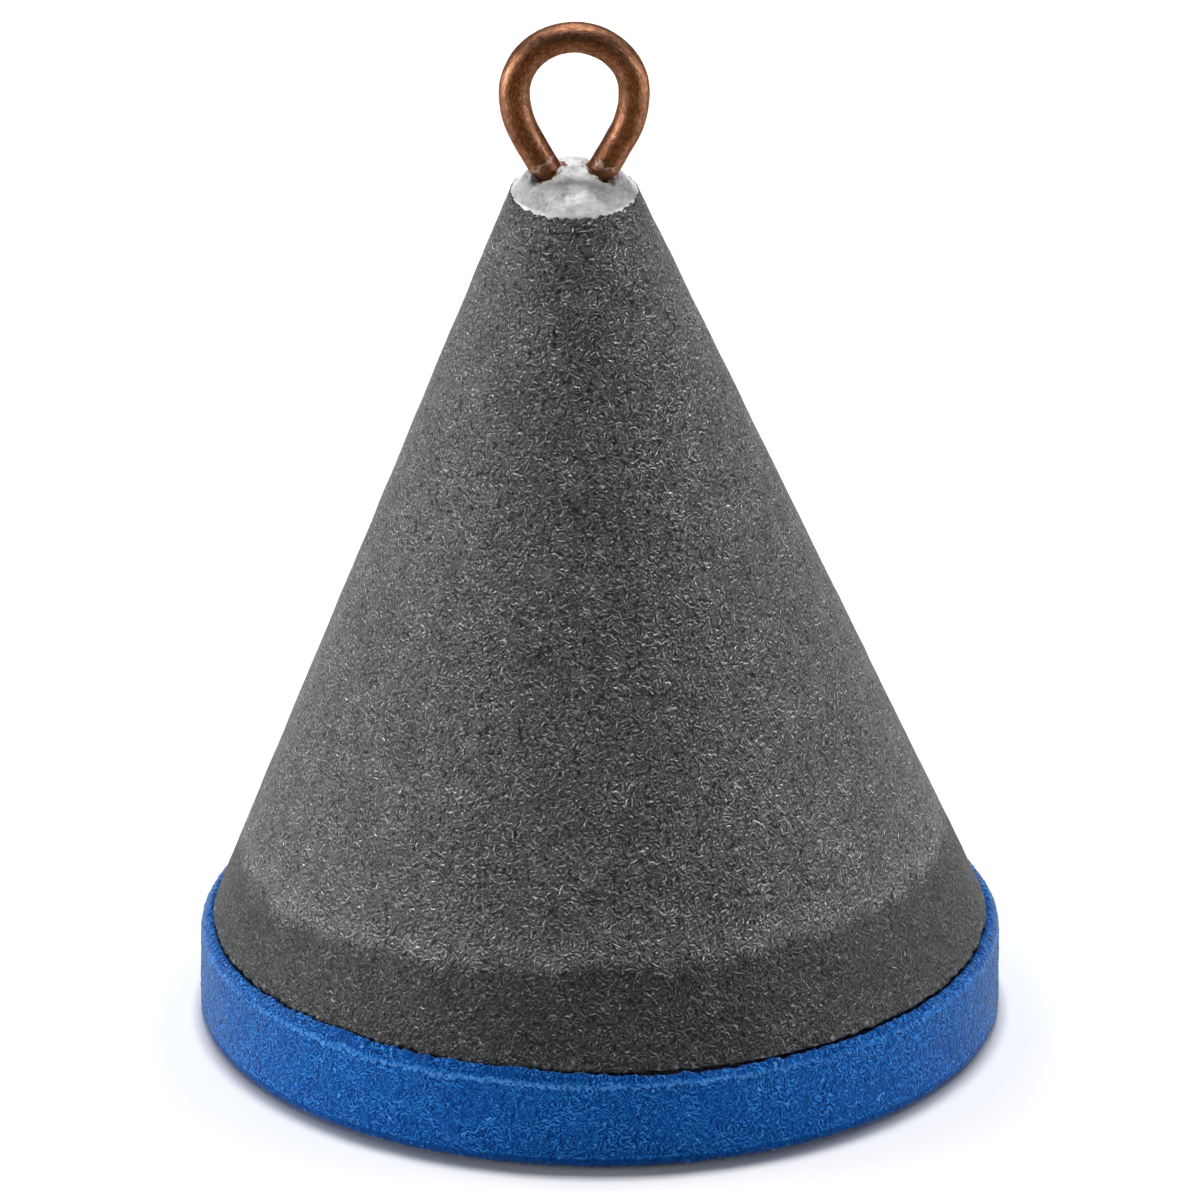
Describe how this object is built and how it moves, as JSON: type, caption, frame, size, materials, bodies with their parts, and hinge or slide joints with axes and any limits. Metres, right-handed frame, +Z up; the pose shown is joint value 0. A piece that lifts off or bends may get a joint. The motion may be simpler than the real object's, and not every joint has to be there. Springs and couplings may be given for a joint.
{
  "type": "fishing plummet",
  "caption": "Cone-shaped lead depth plummet with a textured grey coat, a copper wire eye cast into its tip and a blue foam disc glued under it to hold a hook.",
  "frame": {"origin": "centre of the foam disc's underside, on the surface that the plummet stands on", "axes": "+Z up from the foam to the eye, +X across the flat of the eye, +Y through the eye along the line"},
  "size_m": [0.025, 0.025, 0.0335],
  "materials": {
    "foam": "matte",
    "glue": "satin",
    "lead": "satin",
    "coat": "matte",
    "copper": "satin"
  },
  "bodies": {
    "root": {"foam_base": "foam", "glue_film": "glue", "lead_weight": "lead", "textured_coat": "coat", "wire_eye": "copper"}
  },
  "joints": []
}
